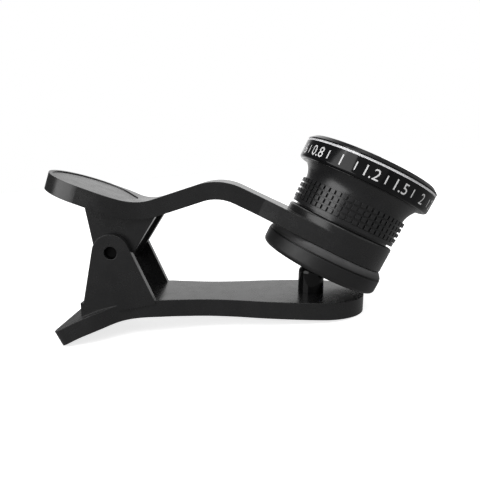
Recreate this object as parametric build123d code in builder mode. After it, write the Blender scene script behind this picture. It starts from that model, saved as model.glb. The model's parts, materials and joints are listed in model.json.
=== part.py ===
from build123d import *
from math import asin, atan2, cos, degrees, hypot, radians, sin, sqrt, tan
import os

# Clip-on phone lens: a sprung two-lever clamp whose round head carries a screw-in wide lens.
# Millimetres. +X runs from the thumb pads to the lens, +Y is the pivot's line, +Z is up, and
# the origin is on the table under the middle of the overall length.
# The clamp's outlines are drawn in its own coordinates: the pivot is (0, 0), x runs along the
# flat lower lever and z stands square to it. Lens heights run up its axis from the head's top.

# Lower lever
pivot_above_lever = 9.95
lever_thickness = 3.6
lever_reach = 53.3
nose_half_width = 8.8
nose_length = 10.2
nose_edge = 0.5
waist_half_width = 6.8
waist_x = 18.0
ear_half_width = 7.8
ear_thickness = 1.45
ear_boss_radius = 3.8
ear_front_foot = 8.8
ear_rear_foot = 6.8
ear_corner = 0.3
grip_half_width = 10.0
grip_flare_start = 0.8
grip_flare_end = -5.0
grip_bend_x = 0.6
grip_bend_radius = 40.0
grip_angle = 27.0
grip_length = 15.7
grip_thickness = 3.4
grip_edge = 0.9
grip_bow = 0.9
grip_corner = 2.5
heel_rib_depth = 0.7
heel_rib_drop = 0.65

# Upper lever
arm_thickness = 3.5
arm_half_width = 7.0
arm_rise = 18.0
arm_reach = 27.35
flare_start = 17.5
flare_half_width = 7.5
pad_half_width = 9.2
pad_slope = 19.5
pad_length = 20.5
pad_taper_start = -1.5
pad_taper_end = 6.5
dish_depth = 0.2
dish_margin = 0.7
dish_length = 4.5
dish_front_radius = 5.2
valley_x = 5.4
valley_above_pivot = 9.7
valley_radius = 10.0
crest_x = 22.3
crest_radius = 12.0
upper_ear_thickness = 1.7
upper_ear_boss_radius = 3.7
upper_ear_front = 9.1
upper_ear_rear = 5.2
ear_side_clearance = 0.15
head_radius = 11.75
head_above_arm = 1.7
head_edge = 0.5

# Lens axis, leaning forward from square to the lower lever
lens_tilt = 25.4

# Pivot and spring
pin_radius = 1.3
pin_recess = 0.8
pin_edge = 0.2
pin_fit = 0.03
pin_running_clearance = 0.06
spring_wire = 0.9
spring_full_turns = 4
spring_pitch = 1.02
spring_inner_clearance = 0.35
spring_upper_angle = 45.0
spring_lower_angle = 30.0
spring_end_clearance = 0.1

# Phone pad and foot
phone_pad_radius = 13.05
phone_pad_thickness = 5.0
phone_pad_bore = 6.0
phone_pad_behind_axis = 0.4
phone_pad_neck = 10.6
phone_pad_gap = 0.3
phone_pad_slope_width = 1.25
phone_pad_slope_drop = 0.65
phone_pad_rim = 1.2
phone_pad_groove = 0.22
phone_pad_groove_depth = 0.25
phone_pad_round = 0.3
phone_pad_edge = 0.9
foot_radius = 2.75
foot_dome = 1.5
foot_clearance = 0.5
foot_stem_radius = 1.5
foot_stem_depth = 2.4
foot_behind_axis = 1.55

# Lens barrel
thread_radius = 8.0
thread_clearance = 0.08
thread_length = 4.0
seat_gap = 0.05
part_fit = 0.03
neck_radius = 10.4
neck_height = 0.45
flange_radius = 11.5
flange_height = 0.75
flange_groove = 0.1
knurl_radius = 11.6
knurl_depth = 0.5
knurl_rows = 4
knurl_row_pitch = 1.18
knurl_row_gap = 0.36
knurl_columns = 56
knurl_column_gap = 0.4
flare_height = 3.0
flare_below_bezel = 1.8
rim_height = 2.7
rim_wall = 0.9

# Bezel ring
bezel_radius = 14.3
bezel_wall = 0.95
bezel_band = 3.74
bezel_underside_round = 0.6
bezel_line_width = 0.28
bezel_line_depth = 0.14
bezel_bead = 0.36
bezel_bevel_width = 0.85
bezel_bevel_height = 0.7
bezel_lip = 0.5
bezel_face_width = 1.0

# Optics, front to back
front_seat_depth = 2.5
front_glass_edge = 1.6
front_dome_curve = 22.0
front_dome_margin = 0.2
front_bowl_curve = 11.0
front_bowl_rim = 7.3
front_retainer_height = 0.75
front_retainer_width = 1.2
front_spacer_height = 1.1
spacer_wall = 1.1
middle_bore = 8.6
middle_glass_edge = 2.0
middle_dome_curve = 16.0
middle_dome_rim = 7.3
middle_bowl_curve = 7.0
middle_bowl_rim = 5.0
stop_thickness = 0.3
stop_hole = 2.2
web_height = 2.7
web_thickness = 0.45
web_bore = 3.5
rear_bore = 6.4
rear_glass_edge = 1.3
rear_front_curve = 16.0
rear_front_rim = 3.4
rear_back_curve = 13.0
rear_back_rim = 4.5
rear_retainer_height = 1.6
rear_retainer_bore = 4.6

c_lens = cos(radians(lens_tilt))
s_lens = sin(radians(lens_tilt))
c_grip = cos(radians(grip_angle))
s_grip = sin(radians(grip_angle))
c_pad = cos(radians(pad_slope))
s_pad = sin(radians(pad_slope))

# The arm climbs to the crest and then falls square to the lens axis, which the head is on
crest_z = valley_above_pivot + (crest_x - valley_x) * tan(radians(arm_rise))
head_thickness = head_above_arm + arm_thickness
head_x = crest_x + arm_reach * c_lens + head_above_arm * s_lens
head_z = crest_z - arm_reach * s_lens + head_above_arm * c_lens
pad_face_depth = head_thickness + phone_pad_thickness
pad_face_x = head_x - pad_face_depth * s_lens
pad_face_z = head_z - pad_face_depth * c_lens

# The lower lever, down to the heel of its grip
lever_top = -pivot_above_lever
lever_under = lever_top - lever_thickness
heel_top_x = grip_bend_x - grip_length * c_grip
heel_top_z = lever_top - grip_length * s_grip
heel_under_x = heel_top_x + grip_thickness * s_grip
heel_under_z = heel_top_z - grip_thickness * c_grip

# It stands on the rounded edges of the heel and the nose, which tips the clamp forward
heel_round_x = heel_under_x + grip_edge * (c_grip - s_grip)
heel_round_z = heel_under_z + grip_edge * (c_grip + s_grip)
foot_run = lever_reach - nose_edge - heel_round_x
foot_rise = lever_under + nose_edge - heel_round_z
foot_turn = asin((nose_edge - grip_edge) / hypot(foot_run, foot_rise))
rest_tilt = degrees(atan2(foot_rise, foot_run) - foot_turn)
c_rest = cos(radians(rest_tilt))
s_rest = sin(radians(rest_tilt))
pivot_z = grip_edge + heel_round_x * s_rest - heel_round_z * c_rest

# Heights in the lens
flange_base = seat_gap + neck_height
flange_top = flange_base + flange_height
knurl_root = knurl_radius - knurl_depth
knurl_base = flange_top + flange_groove
knurl_top = knurl_base + knurl_rows * knurl_row_pitch
rim_base = knurl_top + flare_height
rim_top = rim_base + rim_height
bezel_base = rim_base + seat_gap
bezel_line_base = bezel_base + bezel_band
bezel_line_top = bezel_line_base + bezel_line_width
bezel_corner = bezel_line_top + bezel_bead
bezel_top = bezel_corner + bezel_bevel_height
front_seat = rim_top - front_seat_depth
web_top = web_height + web_thickness

# The cup, its front bore and the parts in it follow the bezel's radius inwards
rim_radius = bezel_radius - bezel_wall
flare_radius = bezel_radius - flare_below_bezel
front_bore = rim_radius - rim_wall
front_retainer_bore = front_bore - front_retainer_width
front_dome_rim = front_retainer_bore - front_dome_margin
bezel_lip_radius = bezel_radius - bezel_bevel_width - bezel_lip
bezel_bore = bezel_lip_radius - bezel_face_width

# The origin is under the middle of the length, from the pad's or grip's rear to the bezel's front
pad_end_x = valley_x - pad_length * c_pad
pad_end_z = valley_above_pivot + pad_length * s_pad
pad_heel_x = pad_end_x - arm_thickness * s_pad
pad_heel_z = pad_end_z - arm_thickness * c_pad
front_x = head_x + bezel_corner * s_lens + bezel_radius * c_lens
front_z = head_z + bezel_corner * c_lens - bezel_radius * s_lens
front_reach = front_x * c_rest + front_z * s_rest
pad_rear = pad_heel_x * c_rest + pad_heel_z * s_rest
grip_round_x = heel_top_x + grip_edge * (c_grip + s_grip)
grip_round_z = heel_top_z + grip_edge * (s_grip - c_grip)
grip_rear = grip_round_x * c_rest + grip_round_z * s_rest - grip_edge
rear_reach = min(pad_rear, grip_rear)
pivot_x = -(front_reach + rear_reach) / 2

side = Plane(origin=(pivot_x, 0, pivot_z), x_dir=(c_rest, 0, -s_rest), z_dir=(0, -1, 0))


def clamp_plane(x, z, lean):
    """A plane square to the side view through (x, z), its normal leaning towards the nose."""
    turn = radians(rest_tilt + lean)
    return Plane(
        origin=side.from_local_coords((x, z, 0)),
        x_dir=(cos(turn), 0, -sin(turn)),
        z_dir=(sin(turn), 0, cos(turn)),
    )


plan = clamp_plane(0, 0, 0)
pad_plan = clamp_plane(valley_x, valley_above_pivot, pad_slope)
foot_plan = clamp_plane(pad_face_x - foot_behind_axis, lever_top, 0)
lens = clamp_plane(head_x, head_z, lens_tilt)
lens_side = Plane(origin=lens.origin, x_dir=lens.x_dir, z_dir=(0, -1, 0))
lens_axis = Axis(lens.origin, lens.z_dir)
reach = 120.0


def sag(curve, rim):
    """Height of a spherical cap above its rim."""
    return curve - sqrt(curve**2 - rim**2)


# Lower lever: flat arm, round nose, drooping grip, two outer ears and a small cross rib
with BuildPart() as lower_lever:
    with BuildSketch(side):
        with BuildLine():
            FilletPolyline(
                (heel_top_x, heel_top_z),
                (heel_under_x, heel_under_z),
                (grip_bend_x, lever_under),
                (lever_reach, lever_under),
                (lever_reach, lever_top),
                (grip_bend_x, lever_top),
                radius=(
                    grip_edge,
                    grip_edge,
                    grip_bend_radius,
                    nose_edge,
                    nose_edge,
                    grip_bend_radius,
                ),
                close=True,
            )
        make_face()
    extrude(amount=grip_half_width, both=True)
    with BuildSketch(plan):
        with BuildLine():
            rear = Line((-reach, grip_half_width), (grip_flare_end, grip_half_width))
            flank = Spline(
                rear @ 1,
                (grip_flare_start, ear_half_width),
                (ear_front_foot, ear_half_width - 0.2),
                (waist_x, waist_half_width),
                (lever_reach - 2.1 * nose_length, nose_half_width - 1.1),
                (lever_reach - nose_length, nose_half_width),
                tangents=((1, 0), (1, 0)),
            )
            EllipticalCenterArc(
                (lever_reach - nose_length, 0),
                nose_length,
                nose_half_width,
                start_angle=-90,
                arc_size=180,
            )
            mirror(rear, about=Plane.XZ)
            mirror(flank, about=Plane.XZ)
            Line((-reach, grip_half_width), (-reach, -grip_half_width))
        make_face()
    extrude(amount=reach, both=True, mode=Mode.INTERSECT)
    with BuildSketch(clamp_plane(heel_top_x, heel_top_z, -grip_angle)):
        with BuildLine():
            tail = ThreePointArc(
                (grip_bow, grip_half_width - grip_corner),
                (0, 0),
                (grip_bow, grip_corner - grip_half_width),
            )
            near_corner = Spline(
                tail @ 1,
                (grip_bow + grip_corner, -grip_half_width),
                tangents=(tail % 1, (1, 0)),
            )
            mirror(near_corner, about=Plane.XZ)
            Polyline(
                (grip_bow + grip_corner, -grip_half_width),
                (grip_bow + grip_corner, -reach),
                (reach, -reach),
                (reach, reach),
                (grip_bow + grip_corner, reach),
                (grip_bow + grip_corner, grip_half_width),
            )
        make_face()
    extrude(amount=reach, both=True, mode=Mode.INTERSECT)
    for offset_y in (ear_half_width - ear_thickness, -ear_half_width):
        with BuildSketch(side.offset(offset_y)):
            Circle(ear_boss_radius)
            with Locations(
                (ear_front_foot - ear_corner, lever_top - 2 * ear_corner),
                (ear_corner - ear_rear_foot, lever_under),
            ):
                Circle(ear_corner)
            make_hull()
        extrude(amount=ear_thickness)
    with BuildSketch(side):
        with BuildLine():
            Polyline(
                (-ear_rear_foot, lever_top - heel_rib_drop),
                (2 * heel_rib_depth - ear_rear_foot, lever_top - heel_rib_drop),
                (2 * heel_rib_depth - ear_rear_foot, lever_under - heel_rib_depth),
                (-ear_rear_foot, lever_under - heel_rib_depth),
                close=True,
            )
        make_face()
    extrude(amount=ear_half_width, both=True)
    with BuildSketch(side):
        Circle(pin_radius + pin_fit)
    extrude(amount=reach, both=True, mode=Mode.SUBTRACT)
    with BuildSketch(foot_plan):
        Circle(foot_stem_radius + pin_fit)
    extrude(amount=-foot_stem_depth - pin_fit, mode=Mode.SUBTRACT)


# Upper lever: dished thumb pad, inner ears, bent arm and the threaded round head
top_line = (
    (pad_end_x, pad_end_z),
    (valley_x, valley_above_pivot),
    (crest_x, crest_z),
    (
        crest_x + (arm_reach - flare_start + arm_thickness) * c_lens,
        crest_z - (arm_reach - flare_start + arm_thickness) * s_lens,
    ),
)
pad_middle = pad_half_width - pad_length
upper_ear_outside = ear_half_width - ear_thickness - ear_side_clearance

with BuildPart() as dish:
    with BuildSketch(side):
        with BuildLine():
            FilletPolyline(*top_line, radius=(valley_radius, crest_radius))
            offset(amount=dish_depth, side=Side.RIGHT)
        make_face()
    extrude(amount=pad_half_width, both=True)
    with BuildSketch(pad_plan):
        with Locations((pad_middle, 0)):
            Circle(pad_half_width - dish_margin)
        with Locations((pad_middle + dish_length, 0)):
            Circle(dish_front_radius)
        make_hull()
    extrude(amount=reach, both=True, mode=Mode.INTERSECT)

with BuildPart() as upper_lever:
    with BuildSketch(side):
        with BuildLine():
            FilletPolyline(*top_line, radius=(valley_radius, crest_radius))
            offset(amount=arm_thickness, side=Side.RIGHT)
        make_face()
    extrude(amount=pad_half_width, both=True)
    with BuildSketch(plan):
        with BuildLine():
            edge = Line((-reach, pad_half_width), (pad_taper_start, pad_half_width))
            taper = Spline(edge @ 1, (pad_taper_end, arm_half_width), tangents=((1, 0), (1, 0)))
            flank = Line(taper @ 1, (crest_x - arm_thickness, arm_half_width))
            swell = Spline(
                flank @ 1,
                (crest_x + arm_thickness, flare_half_width),
                tangents=((1, 0), (1, 0)),
            )
            arm_edge = Line(swell @ 1, (reach, flare_half_width))
            mirror(edge, about=Plane.XZ)
            mirror(taper, about=Plane.XZ)
            mirror(flank, about=Plane.XZ)
            mirror(swell, about=Plane.XZ)
            mirror(arm_edge, about=Plane.XZ)
            Line((-reach, pad_half_width), (-reach, -pad_half_width))
            Line((reach, flare_half_width), (reach, -flare_half_width))
        make_face()
    extrude(amount=reach, both=True, mode=Mode.INTERSECT)
    with BuildSketch(pad_plan):
        with Locations((pad_middle, 0)):
            Circle(pad_half_width)
            Rectangle(reach, reach, align=(Align.MIN, Align.CENTER))
    extrude(amount=reach, both=True, mode=Mode.INTERSECT)
    with BuildSketch(lens.offset(-head_thickness)):
        Circle(head_radius)
        with Locations((-flare_start, 0)):
            Rectangle(head_edge, 2 * flare_half_width, align=(Align.MIN, Align.CENTER))
        make_hull()
    extrude(amount=arm_thickness)
    with BuildSketch(lens.offset(-head_thickness)):
        Circle(head_radius)
    extrude(amount=head_thickness)
    fillet(upper_lever.edges().filter_by(GeomType.CIRCLE).sort_by(lens_axis)[-1], head_edge)
    for offset_y in (upper_ear_outside - upper_ear_thickness, -upper_ear_outside):
        with BuildSketch(side.offset(offset_y)):
            Circle(upper_ear_boss_radius)
            with Locations(
                (upper_ear_front, valley_above_pivot - arm_thickness / 2),
                (-upper_ear_rear, valley_above_pivot + arm_thickness / 4),
            ):
                Circle(ear_corner)
            make_hull()
        extrude(amount=upper_ear_thickness)
    with BuildSketch(side):
        Circle(pin_radius + pin_running_clearance)
    extrude(amount=reach, both=True, mode=Mode.SUBTRACT)
    with BuildSketch(lens):
        Circle(thread_radius)
    extrude(amount=2 * head_thickness, both=True, mode=Mode.SUBTRACT)
    add(dish.part, mode=Mode.SUBTRACT)


# Pivot pin, sunk a little below the outer ears
with BuildPart() as pivot_pin:
    with BuildSketch(side):
        Circle(pin_radius)
    extrude(amount=ear_half_width - pin_recess, both=True)
    chamfer(pivot_pin.edges().filter_by(GeomType.CIRCLE), length=pin_edge)


# Torsion spring round the pin: one leg presses under the thumb pad, the other on the grip
coil_radius = pin_radius + spring_inner_clearance + spring_wire / 2
coil_turns = spring_full_turns + (spring_upper_angle + spring_lower_angle) / 360
coil_height = coil_turns * spring_pitch


def leg_length(surface_distance, surface_slope, leg_angle):
    """Length of a leg that stops just short of a surface sloping away from the pivot."""
    together = radians(surface_slope + leg_angle)
    room = surface_distance - spring_wire / 2 - spring_end_clearance
    return (room - coil_radius * sin(together)) / cos(together)


pad_under_distance = valley_x * s_pad + valley_above_pivot * c_pad - arm_thickness
grip_top_distance = grip_bend_x * s_grip + pivot_above_lever * c_grip
upper_leg = leg_length(pad_under_distance, pad_slope, spring_upper_angle)
lower_leg = leg_length(grip_top_distance, grip_angle, spring_lower_angle)

with BuildPart() as spring_blank:
    with BuildLine() as spring_path:
        coil = Helix(spring_pitch, coil_height, coil_radius)
        first_leg = Line(coil @ 0 - lower_leg * (coil % 0), coil @ 0)
        Line(coil @ 1, coil @ 1 + upper_leg * (coil % 1))
    with BuildSketch(Plane(origin=first_leg @ 0, z_dir=first_leg % 0)):
        Circle(spring_wire / 2)
    sweep(path=spring_path.wires()[0])

with BuildPart() as torsion_spring:
    with Locations(
        side.location * Location((0, 0, -coil_height / 2), (0, 0, -spring_lower_angle))
    ):
        add(spring_blank.part)


# Phone pad: soft ring under the head, with a sloping shoulder and a groove under its rim
phone_pad_top = -head_thickness - phone_pad_gap
groove_top = -head_thickness - phone_pad_rim
pad_side = lens_side.shift_origin(lens_side.from_local_coords((-phone_pad_behind_axis, 0, 0)))
with BuildPart() as phone_pad:
    with BuildSketch(pad_side):
        with BuildLine():
            neck = Polyline(
                (phone_pad_bore, -head_thickness - seat_gap),
                (phone_pad_neck, -head_thickness - seat_gap),
                (phone_pad_neck, phone_pad_top),
            )
            ring = FilletPolyline(
                neck @ 1,
                (phone_pad_radius - phone_pad_slope_width, phone_pad_top),
                (phone_pad_radius, phone_pad_top - phone_pad_slope_drop),
                (phone_pad_radius, groove_top),
                radius=phone_pad_round,
            )
            groove = Polyline(
                ring @ 1,
                (phone_pad_radius - phone_pad_groove_depth, groove_top),
                (phone_pad_radius - phone_pad_groove_depth, groove_top - phone_pad_groove),
                (phone_pad_radius, groove_top - phone_pad_groove),
            )
            cushion = FilletPolyline(
                groove @ 1,
                (phone_pad_radius, -pad_face_depth),
                (phone_pad_bore, -pad_face_depth),
                radius=phone_pad_edge,
            )
            Line(cushion @ 1, neck @ 0)
        make_face()
    revolve(axis=Axis(pad_side.origin, lens.z_dir))


# Rubber foot: domed stud pressed into the lower lever under the lens
foot_height = pad_face_z + foot_behind_axis * tan(radians(lens_tilt)) - foot_clearance - lever_top
foot_side = Plane(origin=foot_plan.origin, x_dir=foot_plan.x_dir, z_dir=(0, -1, 0))
with BuildPart() as rubber_foot:
    with BuildSketch(foot_side):
        with BuildLine():
            FilletPolyline(
                (0, foot_height),
                (foot_radius, foot_height),
                (foot_radius, seat_gap),
                radius=foot_dome,
            )
            Polyline(
                (foot_radius, seat_gap),
                (foot_stem_radius, seat_gap),
                (foot_stem_radius, -foot_stem_depth),
                (0, -foot_stem_depth),
                (0, foot_height),
            )
        make_face()
    revolve(axis=Axis(foot_plan.origin, foot_plan.z_dir))


# Lens barrel: threaded spigot, flange, rows of knurling, flared cup and the inner seats
outline = [
    (rear_bore, -thread_length),
    (thread_radius - thread_clearance, -thread_length),
    (thread_radius - thread_clearance, seat_gap),
    (neck_radius, seat_gap),
    (neck_radius, flange_base),
    (flange_radius, flange_base),
    (flange_radius, flange_top),
    (knurl_root, flange_top),
]
for row in range(knurl_rows):
    row_base = knurl_base + row * knurl_row_pitch
    row_top = row_base + knurl_row_pitch - knurl_row_gap
    outline.append((knurl_root, row_base))
    outline.append((knurl_radius, row_base))
    outline.append((knurl_radius, row_top))
    outline.append((knurl_root, row_top))
outline.append((knurl_root, knurl_top))

with BuildPart() as lens_barrel:
    with BuildSketch(lens_side):
        with BuildLine():
            Polyline(*outline)
            Spline(
                (knurl_root, knurl_top),
                (flare_radius, rim_base),
                tangents=((0.1, 1), (0.7, 1)),
            )
            Polyline(
                (flare_radius, rim_base),
                (rim_radius, rim_base),
                (rim_radius, rim_top),
                (front_bore, rim_top),
                (front_bore, front_seat),
                (middle_bore, front_seat),
                (middle_bore, web_top),
                (web_bore, web_top),
                (web_bore, web_height),
                (rear_bore, web_height),
                (rear_bore, -thread_length),
            )
        make_face()
    revolve(axis=lens_axis)
    with BuildSketch(lens.offset(knurl_base)):
        with PolarLocations(knurl_radius, knurl_columns):
            Rectangle(2 * knurl_depth, knurl_column_gap)
    extrude(amount=knurl_top - knurl_base, mode=Mode.SUBTRACT)


# Bezel ring: lettered band, bright cut line under a bead, and a bevel up to the front lip
with BuildPart() as bezel_ring:
    with BuildSketch(lens_side):
        with BuildLine():
            band = FilletPolyline(
                (rim_radius + part_fit, bezel_base),
                (bezel_radius, bezel_base),
                (bezel_radius, bezel_line_base),
                radius=bezel_underside_round,
            )
            Polyline(
                band @ 1,
                (bezel_radius - bezel_line_depth, bezel_line_base + bezel_line_width / 2),
                (bezel_radius, bezel_line_top),
                (bezel_radius, bezel_corner),
                (bezel_radius - bezel_bevel_width, bezel_top),
                (bezel_lip_radius, bezel_top),
                (bezel_bore, bezel_line_base),
                (bezel_bore, rim_top + seat_gap),
                (rim_radius + part_fit, rim_top + seat_gap),
                band @ 0,
            )
        make_face()
    revolve(axis=lens_axis)


# Front glass: big dome with a bowl behind it, and the ring that holds it
front_base = front_seat + seat_gap
front_top = front_base + front_glass_edge
with BuildPart() as front_element:
    with BuildSketch(lens_side):
        with BuildLine():
            bowl = TangentArc(
                (0, front_base + sag(front_bowl_curve, front_bowl_rim)),
                (front_bowl_rim, front_base),
                tangent=(1, 0),
            )
            Polyline(
                bowl @ 1,
                (front_bore - part_fit, front_base),
                (front_bore - part_fit, front_top),
                (front_dome_rim, front_top),
            )
            dome = TangentArc(
                (0, front_top + sag(front_dome_curve, front_dome_rim)),
                (front_dome_rim, front_top),
                tangent=(1, 0),
            )
            Line(bowl @ 0, dome @ 0)
        make_face()
    revolve(axis=lens_axis)

with BuildPart() as front_retainer:
    with BuildSketch(lens.offset(front_top + seat_gap)):
        Circle(front_bore - part_fit)
        Circle(front_retainer_bore, mode=Mode.SUBTRACT)
    extrude(amount=front_retainer_height)


# Middle glass between its two spacer rings
spacer_outside = middle_bore - part_fit
spacer_base = front_seat - front_spacer_height
middle_top = spacer_base - seat_gap
middle_base = middle_top - middle_glass_edge
rear_spacer_base = web_top + stop_thickness + 2 * seat_gap

with BuildPart() as front_spacer:
    with BuildSketch(lens.offset(spacer_base)):
        Circle(spacer_outside)
        Circle(spacer_outside - spacer_wall, mode=Mode.SUBTRACT)
    extrude(amount=front_spacer_height)

with BuildPart() as middle_element:
    with BuildSketch(lens_side):
        with BuildLine():
            bowl = TangentArc(
                (0, middle_base + sag(middle_bowl_curve, middle_bowl_rim)),
                (middle_bowl_rim, middle_base),
                tangent=(1, 0),
            )
            Polyline(
                bowl @ 1,
                (spacer_outside, middle_base),
                (spacer_outside, middle_top),
                (middle_dome_rim, middle_top),
            )
            dome = TangentArc(
                (0, middle_top + sag(middle_dome_curve, middle_dome_rim)),
                (middle_dome_rim, middle_top),
                tangent=(1, 0),
            )
            Line(bowl @ 0, dome @ 0)
        make_face()
    revolve(axis=lens_axis)

with BuildPart() as rear_spacer:
    with BuildSketch(lens.offset(rear_spacer_base)):
        Circle(spacer_outside)
        Circle(spacer_outside - spacer_wall, mode=Mode.SUBTRACT)
    extrude(amount=middle_base - seat_gap - rear_spacer_base)

with BuildPart() as aperture_stop:
    with BuildSketch(lens.offset(web_top + seat_gap)):
        Circle(spacer_outside)
        Circle(stop_hole, mode=Mode.SUBTRACT)
    extrude(amount=stop_thickness)


# Rear glass, domed on both faces, and the ring that holds it
rear_top = web_height - seat_gap
rear_base = rear_top - rear_glass_edge
with BuildPart() as rear_element:
    with BuildSketch(lens_side):
        with BuildLine():
            back = TangentArc(
                (0, rear_base - sag(rear_back_curve, rear_back_rim)),
                (rear_back_rim, rear_base),
                tangent=(1, 0),
            )
            Polyline(
                back @ 1,
                (rear_bore - part_fit, rear_base),
                (rear_bore - part_fit, rear_top),
                (rear_front_rim, rear_top),
            )
            face = TangentArc(
                (0, rear_top + sag(rear_front_curve, rear_front_rim)),
                (rear_front_rim, rear_top),
                tangent=(1, 0),
            )
            Line(back @ 0, face @ 0)
        make_face()
    revolve(axis=lens_axis)

with BuildPart() as rear_retainer:
    with BuildSketch(lens.offset(rear_base - seat_gap)):
        Circle(rear_bore - part_fit)
        Circle(rear_retainer_bore, mode=Mode.SUBTRACT)
    extrude(amount=-rear_retainer_height)


os.makedirs("parts", exist_ok=True)

upper_lever.part.label = "upper_lever"
export_step(upper_lever.part, "parts/upper_lever.step")
lower_lever.part.label = "lower_lever"
export_step(lower_lever.part, "parts/lower_lever.step")
pivot_pin.part.label = "pivot_pin"
export_step(pivot_pin.part, "parts/pivot_pin.step")
torsion_spring.part.label = "torsion_spring"
export_step(torsion_spring.part, "parts/torsion_spring.step")
phone_pad.part.label = "phone_pad"
export_step(phone_pad.part, "parts/phone_pad.step")
rubber_foot.part.label = "rubber_foot"
export_step(rubber_foot.part, "parts/rubber_foot.step")
lens_barrel.part.label = "lens_barrel"
export_step(lens_barrel.part, "parts/lens_barrel.step")
bezel_ring.part.label = "bezel_ring"
export_step(bezel_ring.part, "parts/bezel_ring.step")
front_retainer.part.label = "front_retainer"
export_step(front_retainer.part, "parts/front_retainer.step")
front_element.part.label = "front_element"
export_step(front_element.part, "parts/front_element.step")
front_spacer.part.label = "front_spacer"
export_step(front_spacer.part, "parts/front_spacer.step")
middle_element.part.label = "middle_element"
export_step(middle_element.part, "parts/middle_element.step")
rear_spacer.part.label = "rear_spacer"
export_step(rear_spacer.part, "parts/rear_spacer.step")
aperture_stop.part.label = "aperture_stop"
export_step(aperture_stop.part, "parts/aperture_stop.step")
rear_element.part.label = "rear_element"
export_step(rear_element.part, "parts/rear_element.step")
rear_retainer.part.label = "rear_retainer"
export_step(rear_retainer.part, "parts/rear_retainer.step")
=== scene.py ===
import json
from math import copysign, cos, degrees, pi, radians, sin, sqrt

import bmesh
import bpy
from mathutils import Matrix, Vector


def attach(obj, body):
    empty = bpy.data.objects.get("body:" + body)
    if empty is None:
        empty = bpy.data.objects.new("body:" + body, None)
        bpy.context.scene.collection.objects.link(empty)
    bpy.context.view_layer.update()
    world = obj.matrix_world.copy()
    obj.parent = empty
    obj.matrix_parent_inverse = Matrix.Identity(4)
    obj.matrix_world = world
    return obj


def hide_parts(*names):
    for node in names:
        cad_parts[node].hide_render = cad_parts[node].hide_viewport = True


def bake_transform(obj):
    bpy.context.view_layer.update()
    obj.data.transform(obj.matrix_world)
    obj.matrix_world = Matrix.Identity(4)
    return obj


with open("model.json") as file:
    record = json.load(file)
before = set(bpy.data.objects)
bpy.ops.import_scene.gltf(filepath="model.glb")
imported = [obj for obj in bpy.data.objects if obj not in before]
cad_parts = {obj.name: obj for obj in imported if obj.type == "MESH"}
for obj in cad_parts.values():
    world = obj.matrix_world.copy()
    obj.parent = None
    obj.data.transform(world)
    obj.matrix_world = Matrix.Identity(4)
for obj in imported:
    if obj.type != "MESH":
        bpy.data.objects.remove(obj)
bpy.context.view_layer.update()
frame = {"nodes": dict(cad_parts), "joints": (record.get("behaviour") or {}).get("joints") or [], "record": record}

nodes = frame["nodes"]
joints = {joint["name"]: joint for joint in frame["joints"]}
mounts = {mount["name"]: mount for mount in frame["record"]["mounts"]}
MM = 0.001

# The clamp's own frame: the pivot is its origin, and it leans forward from the row's frame
PIVOT = Vector(joints["jaw"]["pos_m"])
CLAMP_UP = Vector(mounts["lower_lever_face"]["axis"]).normalized()
CLAMP_X = Vector((CLAMP_UP.z, 0.0, -CLAMP_UP.x))
ROW_Y = Vector((0.0, 1.0, 0.0))

# The lens frame: its origin is on the head's top face
LENS_BASE = Vector(joints["lens_turn"]["pos_m"])
LENS_UP = Vector(joints["lens_turn"]["axis"]).normalized()
LENS_X = Vector((LENS_UP.z, 0.0, -LENS_UP.x))

# The lens's front band, in millimetres of the lens frame
BAND_RADIUS = 14.3
BAND_MIDDLE = 11.0
BRIGHT_CUT = (12.84, 13.20)
BRIGHT_CUT_DEPTH = 0.5


def clamp_vector(x, y, z):
    return CLAMP_X * x + ROW_Y * y + CLAMP_UP * z


def clamp_point(x, y, z):
    """A point of the clamp's own frame, in millimetres, as a row point in metres."""
    return PIVOT + clamp_vector(x, y, z) * MM


# ---------------------------------------------------------------- materials

NOISE_ROUGHNESS = 0.55
NOISE_RANGE = (0.3, 0.7)  # where nearly all of a noise's values lie
BEVEL_SAMPLES = 6
TURNING_PITCH = 0.00009
PAINTED_SHOULDER_LIGHT = (-6.72, -5.3)  # millimetres of the lens frame for the painted highlight on the pad's shoulder: none below, full above


class Nodes:
    """A node tree and short ways to add nodes to it."""

    def __init__(self, tree):
        self.tree = tree
        self.coords = self.add("ShaderNodeTexCoord")

    def add(self, kind, **settings):
        node = self.tree.nodes.new(kind)
        for key, value in settings.items():
            setattr(node, key, value)
        return node

    def link(self, a, b):
        self.tree.links.new(a, b)

    def feed(self, socket, value):
        """Set socket to a number or a colour, or link another node's output to it."""
        if isinstance(value, (int, float)):
            socket.default_value = value
        elif isinstance(value, tuple):
            socket.default_value = (*value, 1.0)
        else:
            self.link(value, socket)

    def math(self, operation, *values):
        node = self.add("ShaderNodeMath", operation=operation)
        for socket, value in zip(node.inputs, values):
            self.feed(socket, value)
        return node.outputs[0]

    def mix(self, factor, a, b, kind="RGBA"):
        """Blend from a to b: colours, or numbers where kind is FLOAT."""
        node = self.add("ShaderNodeMix", data_type=kind)
        for name, value in (("Factor", factor), ("A", a), ("B", b)):
            socket = [s for s in node.inputs if s.name == name and s.enabled][0]
            self.feed(socket, value)
        return [s for s in node.outputs if s.enabled][0]

    def map_range(self, source, start, stop, low, high, kind="SMOOTHSTEP"):
        """Map source from start..stop to low..high."""
        node = self.add("ShaderNodeMapRange", interpolation_type=kind)
        for name, value in (
            ("Value", source),
            ("From Min", start),
            ("From Max", stop),
            ("To Min", low),
            ("To Max", high),
        ):
            self.feed(node.inputs[name], value)
        return node.outputs["Result"]

    def split(self, output):
        """X, Y and Z of one of the coordinate node's outputs."""
        node = self.add("ShaderNodeSeparateXYZ")
        self.link(self.coords.outputs[output], node.inputs["Vector"])
        return node.outputs


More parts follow.
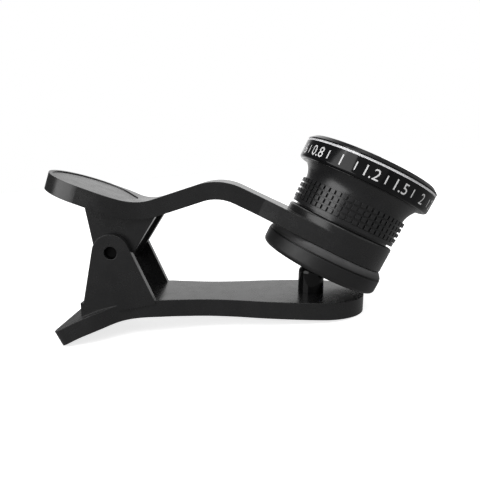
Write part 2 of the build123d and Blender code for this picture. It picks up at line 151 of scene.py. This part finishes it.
class Shader(Nodes):
    """A material, its node tree and its main shader."""

    def __init__(self, name):
        self.material = bpy.data.materials.new(name)
        self.material.use_nodes = True
        super().__init__(self.material.node_tree)
        self.bsdf = self.tree.nodes["Principled BSDF"]

    def set(self, **values):
        for key, value in values.items():
            self.feed(self.bsdf.inputs[key.replace("_", " ")], value)

    def noise(self, scale, detail=3.0, stretch=None):
        node = self.add("ShaderNodeTexNoise")
        node.inputs["Scale"].default_value = scale
        node.inputs["Detail"].default_value = detail
        node.inputs["Roughness"].default_value = NOISE_ROUGHNESS
        source = self.coords.outputs["Object"]
        if stretch is not None:
            mapping = self.add("ShaderNodeMapping")
            mapping.inputs["Scale"].default_value = stretch
            self.link(source, mapping.inputs["Vector"])
            source = mapping.outputs["Vector"]
        self.link(source, node.inputs["Vector"])
        return node.outputs["Fac"]

    def ramp(self, source, low, high, at=(0.35, 0.65)):
        node = self.add("ShaderNodeValToRGB")
        for element, position, colour in zip(node.color_ramp.elements, at, (low, high)):
            element.position = position
            element.color = (*colour, 1.0)
        self.link(source, node.inputs["Fac"])
        return node.outputs["Color"]

    def span(self, noise, low, high):
        """Spread a noise over low..high."""
        return self.map_range(noise, *NOISE_RANGE, low, high, kind="LINEAR")

    def relief(self, height, distance, strength=1.0, edge=0.0):
        """Bumps of a height in metres, on edges that look rounded by a radius in metres."""
        bump = self.add("ShaderNodeBump")
        bump.inputs["Strength"].default_value = strength
        bump.inputs["Distance"].default_value = distance
        self.link(height, bump.inputs["Height"])
        if edge:
            bevel = self.add("ShaderNodeBevel", samples=BEVEL_SAMPLES)
            bevel.inputs["Radius"].default_value = edge
            self.link(bevel.outputs["Normal"], bump.inputs["Normal"])
        self.link(bump.outputs["Normal"], self.bsdf.inputs["Normal"])

    def vector_math(self, operation, source, other=None):
        node = self.add("ShaderNodeVectorMath", operation=operation)
        self.link(source, node.inputs[0])
        if other is not None:
            node.inputs[1].default_value = other
        return node.outputs

    def from_lens_base(self):
        return self.vector_math("SUBTRACT", self.coords.outputs["Object"], LENS_BASE)["Vector"]

    def lens_height(self):
        """Height of the surface along the lens axis, in metres."""
        return self.vector_math("DOT_PRODUCT", self.from_lens_base(), LENS_UP)["Value"]

    def lens_radius(self):
        """Distance of the surface from the lens axis, in metres."""
        across = self.vector_math("CROSS_PRODUCT", self.from_lens_base(), LENS_UP)["Vector"]
        return self.vector_math("LENGTH", across)["Value"]

    def emission(self, strength):
        node = self.add("ShaderNodeEmission")
        self.feed(node.inputs["Color"], (1.0, 1.0, 1.0))
        self.link(strength, node.inputs["Strength"])
        return node.outputs["Emission"]

    def mix_shaders(self, factor, a, b):
        node = self.add("ShaderNodeMixShader")
        for socket, source in zip(node.inputs, (factor, a, b)):
            self.link(source, socket)
        return node.outputs["Shader"]


def moulded(name, dark, light, rough, grain, edge=0.00018):
    """Satin moulded surface: soft mottle, fine spark-eroded grain and rounded edges."""
    s = Shader(name)
    s.set(
        Base_Color=s.ramp(s.noise(140.0, 4.0), dark, light),
        Roughness=s.span(s.noise(420.0), rough - 0.035, rough + 0.045),
    )
    s.relief(s.noise(5200.0, 2.0), grain, 0.35, edge)
    return s


def clip_plastic():
    """Plastic of the two levers."""
    s = moulded(
        "clip_satin_black",
        dark=(0.0090, 0.0090, 0.0093),
        light=(0.0125, 0.0125, 0.0129),
        rough=0.25,
        grain=0.000006,
    )
    s.set(IOR=1.53)
    return s.material


def soft_rubber():
    """Matte rubber, with a paler colour painted on the shoulder under the head as a highlight."""
    s = moulded(
        "soft_black_rubber",
        dark=(0.0095, 0.0095, 0.0097),
        light=(0.0145, 0.0145, 0.0148),
        rough=0.42,
        grain=0.000012,
        edge=0.0002,
    )
    plain = s.bsdf.inputs["Base Color"].links[0].from_socket
    # Painted highlight: above this height the shoulder takes a pale colour, in patches, standing in for the light
    # that falls on it
    start, full = PAINTED_SHOULDER_LIGHT
    shoulder_highlight = s.map_range(s.lens_height(), start * MM, full * MM, 0.0, 1.0, kind="LINEAR")
    patchy_highlight = s.math("MULTIPLY", shoulder_highlight, s.span(s.noise(500.0), 0.75, 1.0))
    s.set(Base_Color=s.mix(patchy_highlight, plain, (0.100, 0.100, 0.101)), IOR=1.42)
    return s.material


def foot_rubber():
    """The foot is a shinier, blacker rubber than the pad."""
    s = moulded(
        "foot_gloss_rubber",
        dark=(0.0030, 0.0030, 0.0031),
        light=(0.0050, 0.0050, 0.0052),
        rough=0.09,
        grain=0.000003,
        edge=0.00005,
    )
    s.set(IOR=1.36)
    return s.material


def blackened():
    """Matte black of the rings inside the lens."""
    return moulded(
        "inner_ring_black",
        dark=(0.0060, 0.0060, 0.0062),
        light=(0.0100, 0.0100, 0.0104),
        rough=0.55,
        grain=0.00001,
        edge=0.00005,
    ).material


def anodised():
    """Satin black anodised aluminium with faint turning marks round the lens axis."""
    s = Shader("barrel_black_anodised")
    s.set(
        Base_Color=s.ramp(s.noise(230.0, 4.0), (0.0070, 0.0070, 0.0078), (0.0115, 0.0115, 0.0122)),
        Roughness=s.span(s.noise(800.0), 0.25, 0.31),
        IOR=1.6,
    )
    turning = s.math("SINE", s.math("MULTIPLY", s.lens_height(), 2 * pi / TURNING_PITCH))
    s.relief(s.math("MULTIPLY", turning, s.noise(900.0, 2.0)), 0.000002, 0.25, 0.00006)
    return s.material


def bezel_gloss():
    """Gloss black band with a diamond-cut bright edge under the bevel."""
    s = Shader("bezel_gloss_black")
    height = s.lens_height()
    above = s.math("GREATER_THAN", height, BRIGHT_CUT[0] * MM)
    below = s.math("LESS_THAN", height, BRIGHT_CUT[1] * MM)
    outside = s.math("GREATER_THAN", s.lens_radius(), (BAND_RADIUS - BRIGHT_CUT_DEPTH) * MM)
    bright = s.math("MULTIPLY", s.math("MULTIPLY", above, below), outside)
    dark = s.ramp(s.noise(300.0), (0.0035, 0.0035, 0.0040), (0.0060, 0.0060, 0.0066))
    cut = s.ramp(s.noise(260.0, 1.0), (0.78, 0.78, 0.79), (0.90, 0.90, 0.91))
    wear = s.span(s.noise(1100.0, 4.0), 0.07, 0.12)
    s.set(
        Base_Color=s.mix(bright, dark, cut),
        Metallic=s.math("MULTIPLY", bright, 0.35),
        Roughness=s.math("ADD", wear, s.math("MULTIPLY", bright, 0.22)),
        IOR=1.36,
    )
    s.relief(s.noise(2600.0, 2.0), 0.000001, 0.2, 0.00005)
    return s.material


def bright_steel():
    """Drawn steel wire: streaks along the drawing direction, a few dull patches."""
    s = Shader("drawn_steel")
    streaks = s.noise(900.0, stretch=(0.15, 1.0, 0.15))
    s.set(
        Base_Color=s.ramp(streaks, (0.36, 0.36, 0.37), (0.58, 0.58, 0.59)),
        Roughness=s.span(s.noise(600.0, 4.0), 0.20, 0.34),
        Metallic=1.0,
    )
    s.relief(streaks, 0.000003, 0.4, 0.00006)
    return s.material


def dark_pin():
    """Black oxide of the sunk pin, darkened further into painted shade so that its lit end reads as a shadowed
    hole in the ears.
    """
    s = Shader("pin_oxide_and_painted_shade")
    s.set(
        # The near-black colour is black oxide and painted shade: it stands in for the shadow of a hole
        Base_Color=s.ramp(s.noise(700.0), (0.0018, 0.0018, 0.0018), (0.0034, 0.0034, 0.0034)),
        Roughness=s.span(s.noise(900.0), 0.55, 0.70),
        IOR=1.18,
    )
    s.relief(s.noise(3000.0), 0.00001, 0.3, 0.00008)
    return s.material


def coated_glass(name, tint_low, tint_high):
    """Lens glass with an anti-reflection coating whose tint drifts over the dome."""
    s = Shader(name)
    s.set(
        Base_Color=s.ramp(s.noise(60.0, 1.0), tint_low, tint_high, at=(0.3, 0.7)),
        Roughness=s.span(s.noise(500.0, 2.0), 0.012, 0.03),
        IOR=1.52,
        Transmission_Weight=1.0,
        Coat_Weight=0.35,
        Coat_Roughness=0.02,
        Coat_Tint=(0.55, 0.45, 0.95),
    )
    s.relief(s.noise(90.0, 1.0), 0.000001, 0.2)
    return s.material


def white_paint():
    """Paint of the figures and bars on the band."""
    s = Shader("scale_white_paint")
    s.set(
        Base_Color=s.ramp(s.noise(1300.0), (0.66, 0.66, 0.66), (0.76, 0.76, 0.76)),
        Roughness=s.span(s.noise(2000.0), 0.42, 0.56),
    )
    s.relief(s.noise(4000.0), 0.000004, 0.4)
    return s.material


CLIP = clip_plastic()
RUBBER = soft_rubber()
BARREL = anodised()
BEZEL = bezel_gloss()
INNER = blackened()
STEEL = bright_steel()
PIN = dark_pin()
FOOT = foot_rubber()
FRONT_GLASS = coated_glass("front_glass_coated", (0.93, 0.97, 0.96), (0.97, 0.95, 0.98))
INNER_GLASS = coated_glass("inner_glass_coated", (0.95, 0.97, 0.93), (0.98, 0.96, 0.92))
PAINT = white_paint()

for node_name, material in {
    "upper_lever": CLIP,
    "lower_lever": CLIP,
    "pivot_pin": PIN,
    "torsion_spring": STEEL,
    "phone_pad": RUBBER,
    "rubber_foot": FOOT,
    "lens_barrel": BARREL,
    "bezel_ring": BEZEL,
    "front_retainer": INNER,
    "front_element": FRONT_GLASS,
    "front_spacer": INNER,
    "middle_element": INNER_GLASS,
    "rear_spacer": INNER,
    "aperture_stop": INNER,
    "rear_element": INNER_GLASS,
    "rear_retainer": INNER,
}.items():
    mesh = nodes[node_name].data
    mesh.materials.clear()
    mesh.materials.append(material)


# ---------------------------------------------------------------- making pieces


def as_piece(name, bm, material):
    """Turn bm into an object of the scene, and free it."""
    mesh = bpy.data.meshes.new(name)
    bm.to_mesh(mesh)
    bm.free()
    mesh.materials.append(material)
    piece = bpy.data.objects.new(name, mesh)
    bpy.context.scene.collection.objects.link(piece)
    return piece


def mark_creases(bm, angle):
    """Shade an edge hard where its faces turn by angle or more, in degrees."""
    for edge in bm.edges:
        edge.smooth = len(edge.link_faces) == 2 and edge.calc_face_angle() < radians(angle)


def slice_at(bm, point, normal, tolerance):
    """Cut all faces of bm along a plane."""
    parts = bm.verts[:] + bm.edges[:] + bm.faces[:]
    bmesh.ops.bisect_plane(bm, geom=parts, dist=tolerance, plane_co=point, plane_no=normal)


# ---------------------------------------------------------------- the torsion spring

# Millimetres and degrees of the clamp's frame, as in the solid
COIL_RADIUS = 2.1
COIL_TURNS = 4 + 75 / 360
COIL_PITCH = 1.02
LOWER_ANGLE = 30.0
UPPER_LEG = 11.6
LOWER_LEG = 12.5
WIRE = 0.9

WIRE_SIDES = 14
CUT_END = 0.86  # share of the wire's radius left at its cut ends
COIL_STEPS = 190
LEG_STEPS = 12


def spring_centreline():
    """Points along the wire, in millimetres of the clamp's frame, from the lower leg up."""
    slope = COIL_PITCH / (2 * pi * COIL_RADIUS)
    flat = 1 / sqrt(1 + slope**2)

    def on_coil(turn):
        angle = turn - radians(LOWER_ANGLE)
        beside = COIL_TURNS * COIL_PITCH / 2 - COIL_PITCH * turn / (2 * pi)
        return Vector((COIL_RADIUS * cos(angle), beside, COIL_RADIUS * sin(angle)))

    def tangent(turn):
        angle = turn - radians(LOWER_ANGLE)
        return Vector((-sin(angle) * flat, -slope * flat, cos(angle) * flat))

    last = COIL_TURNS * 2 * pi
    path = []
    for step in range(LEG_STEPS):
        path.append(on_coil(0) - tangent(0) * LOWER_LEG * (1 - step / LEG_STEPS))
    for step in range(COIL_STEPS + 1):
        path.append(on_coil(last * step / COIL_STEPS))
    for step in range(1, LEG_STEPS + 1):
        path.append(on_coil(last) + tangent(last) * UPPER_LEG * step / LEG_STEPS)
    return path


def wire_along(path):
    """The round wire along a path of the clamp's frame, its section carried without twist."""
    bm = bmesh.new()
    last = len(path) - 1
    rings = []
    normal = None
    for index, point in enumerate(path):
        along = (path[min(index + 1, last)] - path[max(index - 1, 0)]).normalized()
        if normal is None:
            normal = along.orthogonal().normalized()
        normal = (normal - along * normal.dot(along)).normalized()
        across = along.cross(normal)
        size = WIRE / 2 * (CUT_END if index in (0, last) else 1.0)
        ring = []
        for side in range(WIRE_SIDES):
            turn = 2 * pi * side / WIRE_SIDES
            offset = normal * cos(turn) * size + across * sin(turn) * size
            ring.append(bm.verts.new(clamp_point(*(point + offset))))
        rings.append(ring)
    for a, b in zip(rings, rings[1:]):
        for side in range(WIRE_SIDES):
            nxt = (side + 1) % WIRE_SIDES
            bm.faces.new((a[side], a[nxt], b[nxt], b[side]))
    bm.faces.new(rings[0])
    bm.faces.new(list(reversed(rings[-1])))
    bmesh.ops.recalc_face_normals(bm, faces=bm.faces)
    for face in bm.faces:
        face.smooth = len(face.verts) == 4
    return bm


spring = as_piece("spring_wire", wire_along(spring_centreline()), STEEL)
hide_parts("torsion_spring")
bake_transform(spring)


# ---------------------------------------------------------------- the lower lever

# Half width of the lever at x of the clamp's frame, in millimetres: the waist from ears to nose
FLANK = (
    (8.8, 7.6),
    (12.5, 7.2),
    (19.0, 6.75),
    (25.0, 7.1),
    (31.2, 8.0),
    (37.4, 8.56),
    (43.1, 8.8),
)
FLANK_SLOPES = [0.0, *((wb - wa) / (xb - xa) for (xa, wa), (xb, wb) in zip(FLANK, FLANK[2:])), 0.0]
FLANK_CUTS = range(10, 43)  # the x at which the lever is cut, so that its flanks can bend
WALL_FROM = 6.3  # farther out than this, a vertex of the solid lies on a flank
BENT_FROM = 5.0  # farther out than this, a vertex follows the flank
WALL_DEPTH = 0.12  # nearer to the old flank than this, it lies on the new one
LEVER_CREASE = 25
LEVEL_FACE = 0.999  # cosine from which a face counts as top or bottom, and is shaded flat
WELD = 0.002 * MM


def flank_width(x):
    """A smooth line through FLANK, level at both ends."""
    i = max(k for k in range(len(FLANK) - 1) if FLANK[k][0] <= x or k == 0)
    (x0, w0), (x1, w1) = FLANK[i], FLANK[i + 1]
    run = x1 - x0
    t = (x - x0) / run
    return (
        (2 * t**3 - 3 * t**2 + 1) * w0
        + (t**3 - 2 * t**2 + t) * run * FLANK_SLOPES[i]
        + (3 * t**2 - 2 * t**3) * w1
        + (t**3 - t**2) * run * FLANK_SLOPES[i + 1]
    )


def in_clamp(point):
    """Clamp coordinates x and y of a row point, in millimetres."""
    shift = (point - PIVOT) / MM
    return shift.dot(CLAMP_X), shift.dot(ROW_Y)


def flanked_lever():
    """The lower lever with its flanks drawn as one smooth line from the ears to the nose."""
    bm = bmesh.new()
    bm.from_mesh(nodes["lower_lever"].data)
    bmesh.ops.remove_doubles(bm, verts=bm.verts, dist=WELD)
    low, high = FLANK[0][0], FLANK[-1][0]
    was = []
    for vertex in bm.verts:
        x, y = in_clamp(vertex.co)
        if low < x < high and abs(y) > WALL_FROM:
            was.append((x, abs(y)))
    was.sort()
    for cut in FLANK_CUTS:
        slice_at(bm, clamp_point(cut, 0, 0), CLAMP_X, WELD / 2)
    for vertex in bm.verts:
        x, y = in_clamp(vertex.co)
        if not (low < x < high and abs(y) > BENT_FROM):
            continue
        behind = max((w for w in was if w[0] <= x), default=was[0])
        ahead = min((w for w in was if w[0] >= x), default=was[-1])
        part = (x - behind[0]) / max(ahead[0] - behind[0], 0.0001)
        old = behind[1] + (ahead[1] - behind[1]) * min(max(part, 0.0), 1.0)
        new = flank_width(x)
        moved = new if abs(y) > old - WALL_DEPTH else abs(y) * new / old
        vertex.co += ROW_Y * (copysign(moved, y) - y) * MM
    bmesh.ops.dissolve_degenerate(bm, dist=WELD, edges=bm.edges)
    bm.normal_update()
    for face in bm.faces:
        face.smooth = abs(face.normal.dot(CLAMP_UP)) < LEVEL_FACE
    mark_creases(bm, LEVER_CREASE)
    return bm


lever = as_piece("lower_lever_body", flanked_lever(), CLIP)
if "custom_normal" in lever.data.attributes:
    lever.data.attributes.remove(lever.data.attributes["custom_normal"])
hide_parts("lower_lever")
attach(lever, "lower")


# ---------------------------------------------------------------- rubber pad and foot

RUBBER_CREASE = 28

# The pad, in millimetres: its profile's origin is on the head's underside
HEAD_UNDER = -5.2
PAD_DEPTH = 5.0
PAD_RADIUS = 13.05
PAD_BORE = 6.0
PAD_BEHIND = 0.4
PAD_ROUND = 1.0
BORE_ROUND = 0.5

# The foot, in millimetres of the clamp's frame
FOOT_X = 41.81
LEVER_TOP = -9.95
FOOT_HEIGHT = 5.95
FOOT_RADIUS = 2.75
FOOT_ROUND = 1.5
FOOT_STEM = 1.5
STEM_DEPTH = 2.3


def lathe(profile, origin, axis, steps=144):
    """A closed ring or knob: profile points (radius, height) in millimetres, turned round axis."""
    across = axis.cross(ROW_Y).normalized()
    beside = axis.cross(across)
    bm = bmesh.new()
    columns = []
    for radius, height in profile:
        if radius == 0:
            columns.append([bm.verts.new(origin + axis * height * MM)] * steps)
            continue
        column = []
        for index in range(steps):
            turn = 2 * pi * index / steps
            out = across * cos(turn) + beside * sin(turn)
            column.append(bm.verts.new(origin + (out * radius + axis * height) * MM))
        columns.append(column)
    following = columns[1:]
    if profile[0][0] > 0:
        following += columns[:1]
    for a, b in zip(columns, following):
        for index in range(steps):
            nxt = (index + 1) % steps
            corners = dict.fromkeys((a[index], a[nxt], b[nxt], b[index]))
            bm.faces.new(list(corners))  # three corners next to the axis
    bmesh.ops.recalc_face_normals(bm, faces=bm.faces)
    for face in bm.faces:
        face.smooth = True
    mark_creases(bm, RUBBER_CREASE)
    return bm


def corner(centre, radius, start, stop, count=8):
    """Points of a rounded corner, from angle start to stop in degrees."""
    turns = [radians(start + (stop - start) * i / count) for i in range(count + 1)]
    return [(centre[0] + radius * cos(t), centre[1] + radius * sin(t)) for t in turns]


# The shoulder swells out from under the head and ends in a fine lip above the wall
pad_profile = [
    *((PAD_BORE + 0.3, -0.05), (10.6, -0.05), (10.6, -0.20)),
    *((11.50, -0.06), (11.80, -0.11), (12.02, -0.25), (12.30, -0.54), (12.60, -0.92)),
    *((12.80, -1.20), (12.93, -1.42), (12.94, -1.46), (12.72, -1.50), (12.72, -1.72)),
    *((13.0, -1.76), (PAD_RADIUS, -1.83), (PAD_RADIUS, -2.6), (PAD_RADIUS, -3.3)),
    *corner((PAD_RADIUS - PAD_ROUND, -PAD_DEPTH + PAD_ROUND), PAD_ROUND, 0, -90),
    (9.6, -PAD_DEPTH),
    *corner((PAD_BORE + BORE_ROUND, -PAD_DEPTH + BORE_ROUND), BORE_ROUND, -90, -180),
    *((PAD_BORE, -2.5), (PAD_BORE, -0.35)),
]
pad_origin = LENS_BASE + (LENS_UP * HEAD_UNDER - LENS_X * PAD_BEHIND) * MM
pad = as_piece("phone_pad_rubber", lathe(pad_profile, pad_origin, LENS_UP), RUBBER)
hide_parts("phone_pad")
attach(pad, "upper")

foot_profile = [
    *((0, FOOT_HEIGHT), (0.5, FOOT_HEIGHT - 0.01), (1.0, FOOT_HEIGHT - 0.06)),
    *corner((FOOT_RADIUS - FOOT_ROUND, FOOT_HEIGHT - 1.6), FOOT_ROUND, 84, 0, 10),
    *((FOOT_RADIUS + 0.02, 2.2), (FOOT_RADIUS + 0.05, 0.8), (FOOT_RADIUS + 0.05, 0.01)),
    *((FOOT_STEM, 0.01), (FOOT_STEM, -STEM_DEPTH), (0, -STEM_DEPTH)),
]
foot_origin = clamp_point(FOOT_X, 0, LEVER_TOP)
stud = as_piece("foot_rubber_stud", lathe(foot_profile, foot_origin, CLAMP_UP, steps=72), FOOT)
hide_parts("rubber_foot")
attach(stud, "lower")


# ---------------------------------------------------------------- the scale on the band

FIGURES = "0.4 0.5 0.6 0.8 1 1.2 1.5 2 2.5 3 4 5 7 10 20".split()
FRONT_FIGURE = 5.5  # the place in FIGURES that faces the camera's side
FIGURE_HEIGHT = 2.05
CAP_HEIGHT = 0.70  # height of a figure for a font size of 1
BAR_WIDTH = 0.24
BAR_HALF_HEIGHT = 0.8
PAINT_THICKNESS = 0.004
STRIP = 0.25  # width of the flat strips of paint that follow the round band
STRIP_CUTS = range(-14, 15)
STRIP_TOLERANCE = 1e-5


def paint_point(angle, height):
    """A point of the paint: degrees round the lens axis, and millimetres from the band's middle."""
    turn = radians(angle)
    out = LENS_X * sin(turn) - ROW_Y * cos(turn)
    radius = BAND_RADIUS + PAINT_THICKNESS
    return LENS_BASE + (out * radius + LENS_UP * (BAND_MIDDLE + height)) * MM


def flat_figure(text):
    """A figure in its own millimetres, centred on its width and cut into strips."""
    curve = bpy.data.curves.new("figure", "FONT")
    curve.body = text
    curve.size = FIGURE_HEIGHT / CAP_HEIGHT
    curve.align_x = "CENTER"
    curve.resolution_u = 3
    holder = bpy.data.objects.new("figure", curve)
    bpy.context.scene.collection.objects.link(holder)
    bpy.context.view_layer.update()
    shown = holder.evaluated_get(bpy.context.evaluated_depsgraph_get())
    mesh = bpy.data.meshes.new_from_object(shown)
    bpy.data.objects.remove(holder)
    bpy.data.curves.remove(curve)
    bm = bmesh.new()
    bm.from_mesh(mesh)
    bpy.data.meshes.remove(mesh)
    for cut in STRIP_CUTS:
        slice_at(bm, (cut * STRIP, 0, 0), (1, 0, 0), STRIP_TOLERANCE)
    return bm


def add_figure(bm, text, angle):
    """Lay a figure on the band."""
    figure = flat_figure(text)
    turn_per_mm = degrees(1 / BAND_RADIUS)
    tall = [vertex.co.y for vertex in figure.verts]
    middle = (min(tall) + max(tall)) / 2
    laid = {}
    for vertex in figure.verts:
        point = paint_point(angle + vertex.co.x * turn_per_mm, vertex.co.y - middle)
        laid[vertex] = bm.verts.new(point)
    for face in figure.faces:
        bm.faces.new([laid[vertex] for vertex in face.verts]).normal_update()
    figure.free()


def add_bar(bm, angle):
    """A short painted line across the band."""
    half = degrees(BAR_WIDTH / 2 / BAND_RADIUS)
    bm.faces.new(
        [
            bm.verts.new(paint_point(angle + side * half, end * BAR_HALF_HEIGHT))
            for side, end in ((-1, -1), (1, -1), (1, 1), (-1, 1))
        ]
    )


def painted_scale():
    """Figures all round the band with a bar between each two, all facing outward."""
    bm = bmesh.new()
    step = 360 / len(FIGURES)
    for index, figure in enumerate(FIGURES):
        angle = (index - FRONT_FIGURE) * step
        add_figure(bm, figure, angle)
        add_bar(bm, angle + step / 2)
    bmesh.ops.recalc_face_normals(bm, faces=bm.faces)
    for face in bm.faces:
        outward = face.calc_center_median() - LENS_BASE
        outward -= LENS_UP * outward.dot(LENS_UP)
        if face.normal.dot(outward) < 0:
            face.normal_flip()
    return bm


band_scale = as_piece("band_scale", painted_scale(), PAINT)
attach(band_scale, "lens_shell")


# ---------------------------------------------------------------- the floor

FLOOR_SIZE = 6.0

bpy.ops.mesh.primitive_plane_add(size=FLOOR_SIZE, location=(0, 0, 0))
floor = bpy.context.object
floor.name = "studio_floor"
stage = Shader("floor_white")
rays = stage.add("ShaderNodeLightPath").outputs
place = stage.split("Object")

# What gloss and glass mirror: a dim floor round the object that turns white behind it
beside = stage.math("MULTIPLY", stage.math("ABSOLUTE", place["X"]), 1.6)
back = stage.math("SUBTRACT", place["Y"], beside)
dim = stage.map_range(place["X"], 0.03, 0.25, 0.26, 0.14)
mirrored = stage.emission(stage.map_range(back, -0.02, 0.10, dim, 1.0))

# What the camera sees: a white floor that keeps the object's shadow close to it
stage.set(Base_Color=(0.80, 0.80, 0.80), Roughness=0.9)
distance = stage.vector_math("LENGTH", stage.coords.outputs["Object"])["Value"]
white = stage.emission(stage.map_range(distance, 0.05, 0.30, 0.76, 1.0))
seen = stage.add("ShaderNodeAddShader")
stage.link(stage.bsdf.outputs["BSDF"], seen.inputs[0])
stage.link(white, seen.inputs[1])

# What lights the object from below: plain grey
grey = stage.add("ShaderNodeBsdfDiffuse")
stage.feed(grey.inputs["Color"], (0.45, 0.45, 0.45))

plain = stage.mix_shaders(rays["Is Camera Ray"], grey.outputs["BSDF"], seen.outputs["Shader"])
in_gloss = stage.math("MAXIMUM", rays["Is Glossy Ray"], rays["Is Transmission Ray"])
surface = stage.mix_shaders(in_gloss, plain, mirrored)
stage.link(surface, stage.tree.nodes["Material Output"].inputs["Surface"])
floor.data.materials.append(stage.material)


# ---------------------------------------------------------------- the world

world = bpy.data.worlds.new("studio")
bpy.context.scene.world = world
world.use_nodes = True
sky = Nodes(world.node_tree)
toward = sky.split("Generated")

# Dim all round, dimmer to the left and at the back, with a white field right behind the object
behind = sky.map_range(toward["Y"], 0.5, 0.88, 0.0, 1.0)
centred = sky.map_range(sky.math("ABSOLUTE", toward["X"]), 0.24, 0.50, 1.0, 0.0)
dim_left = sky.map_range(toward["X"], -0.95, -0.35, 0.5, 1.0)
dim_back = sky.map_range(toward["Y"], -0.1, 0.5, 1.0, 0.45)
to_right = sky.map_range(toward["X"], -0.1, 0.8, 0.27, 0.56)
fill = sky.math("MULTIPLY", to_right, sky.math("MULTIPLY", dim_left, dim_back))
light = sky.mix(sky.math("MULTIPLY", behind, centred), fill, 1.0, kind="FLOAT")

# The camera sees plain white, and so does what looks through the glass
sky_rays = sky.add("ShaderNodeLightPath").outputs
shown = sky.math("MAXIMUM", sky_rays["Is Camera Ray"], sky_rays["Is Transmission Ray"])
background = world.node_tree.nodes["Background"]
sky.feed(background.inputs["Strength"], sky.mix(shown, light, 1.0, kind="FLOAT"))
sky.feed(background.inputs["Color"], (1.0, 1.0, 1.0))


# ---------------------------------------------------------------- the lamps

LIT_POINT = Vector((0.0, 0.0, 0.018))


def softbox(name, position, width, height, power):
    """A soft panel of width by height metres that faces the object."""
    panel = bpy.data.lights.new(name, "AREA")
    panel.shape = "RECTANGLE"
    panel.size = width
    panel.size_y = height
    panel.energy = power
    lamp = bpy.data.objects.new(name, panel)
    lamp.location = position
    lamp.rotation_euler = (LIT_POINT - Vector(position)).to_track_quat("-Z", "Y").to_euler()
    bpy.context.scene.collection.objects.link(lamp)


softbox("left_panel", (-0.412, -0.284, 0.15), width=0.47, height=0.44, power=1.65)
softbox("top_panel", (0.05, 0.10, 0.55), width=0.60, height=0.40, power=1.1)
softbox("front_panel", (-0.06, -0.27, 0.40), width=0.60, height=0.22, power=1.15)


# ---------------------------------------------------------------- the camera

# As fitted to the photo, in millimetres and angles of the clamp's frame
CAMERA_AT = (28.05, -88.61, 17.44)
CAMERA_YAW = radians(-1.27)
CAMERA_PITCH = radians(10.25)
FOCAL_PIXELS = 411.54
FRAME_PIXELS = 480
SENSOR = 36.0

camera_data = bpy.data.cameras.new("camera")
camera_data.sensor_fit = "HORIZONTAL"
camera_data.sensor_width = SENSOR
camera_data.lens = SENSOR * FOCAL_PIXELS / FRAME_PIXELS
camera_data.clip_start = 0.005
camera_data.clip_end = 20.0
camera = bpy.data.objects.new("camera", camera_data)
ahead = clamp_vector(
    sin(CAMERA_YAW) * cos(CAMERA_PITCH), cos(CAMERA_YAW) * cos(CAMERA_PITCH), -sin(CAMERA_PITCH)
)
right = clamp_vector(cos(CAMERA_YAW), -sin(CAMERA_YAW), 0.0)
facing = Matrix((right, right.cross(ahead), -ahead)).transposed()
camera.matrix_world = Matrix.Translation(clamp_point(*CAMERA_AT)) @ facing.to_4x4()
bpy.context.scene.collection.objects.link(camera)
bpy.context.scene.camera = camera
bpy.context.scene.view_settings.view_transform = "Standard"
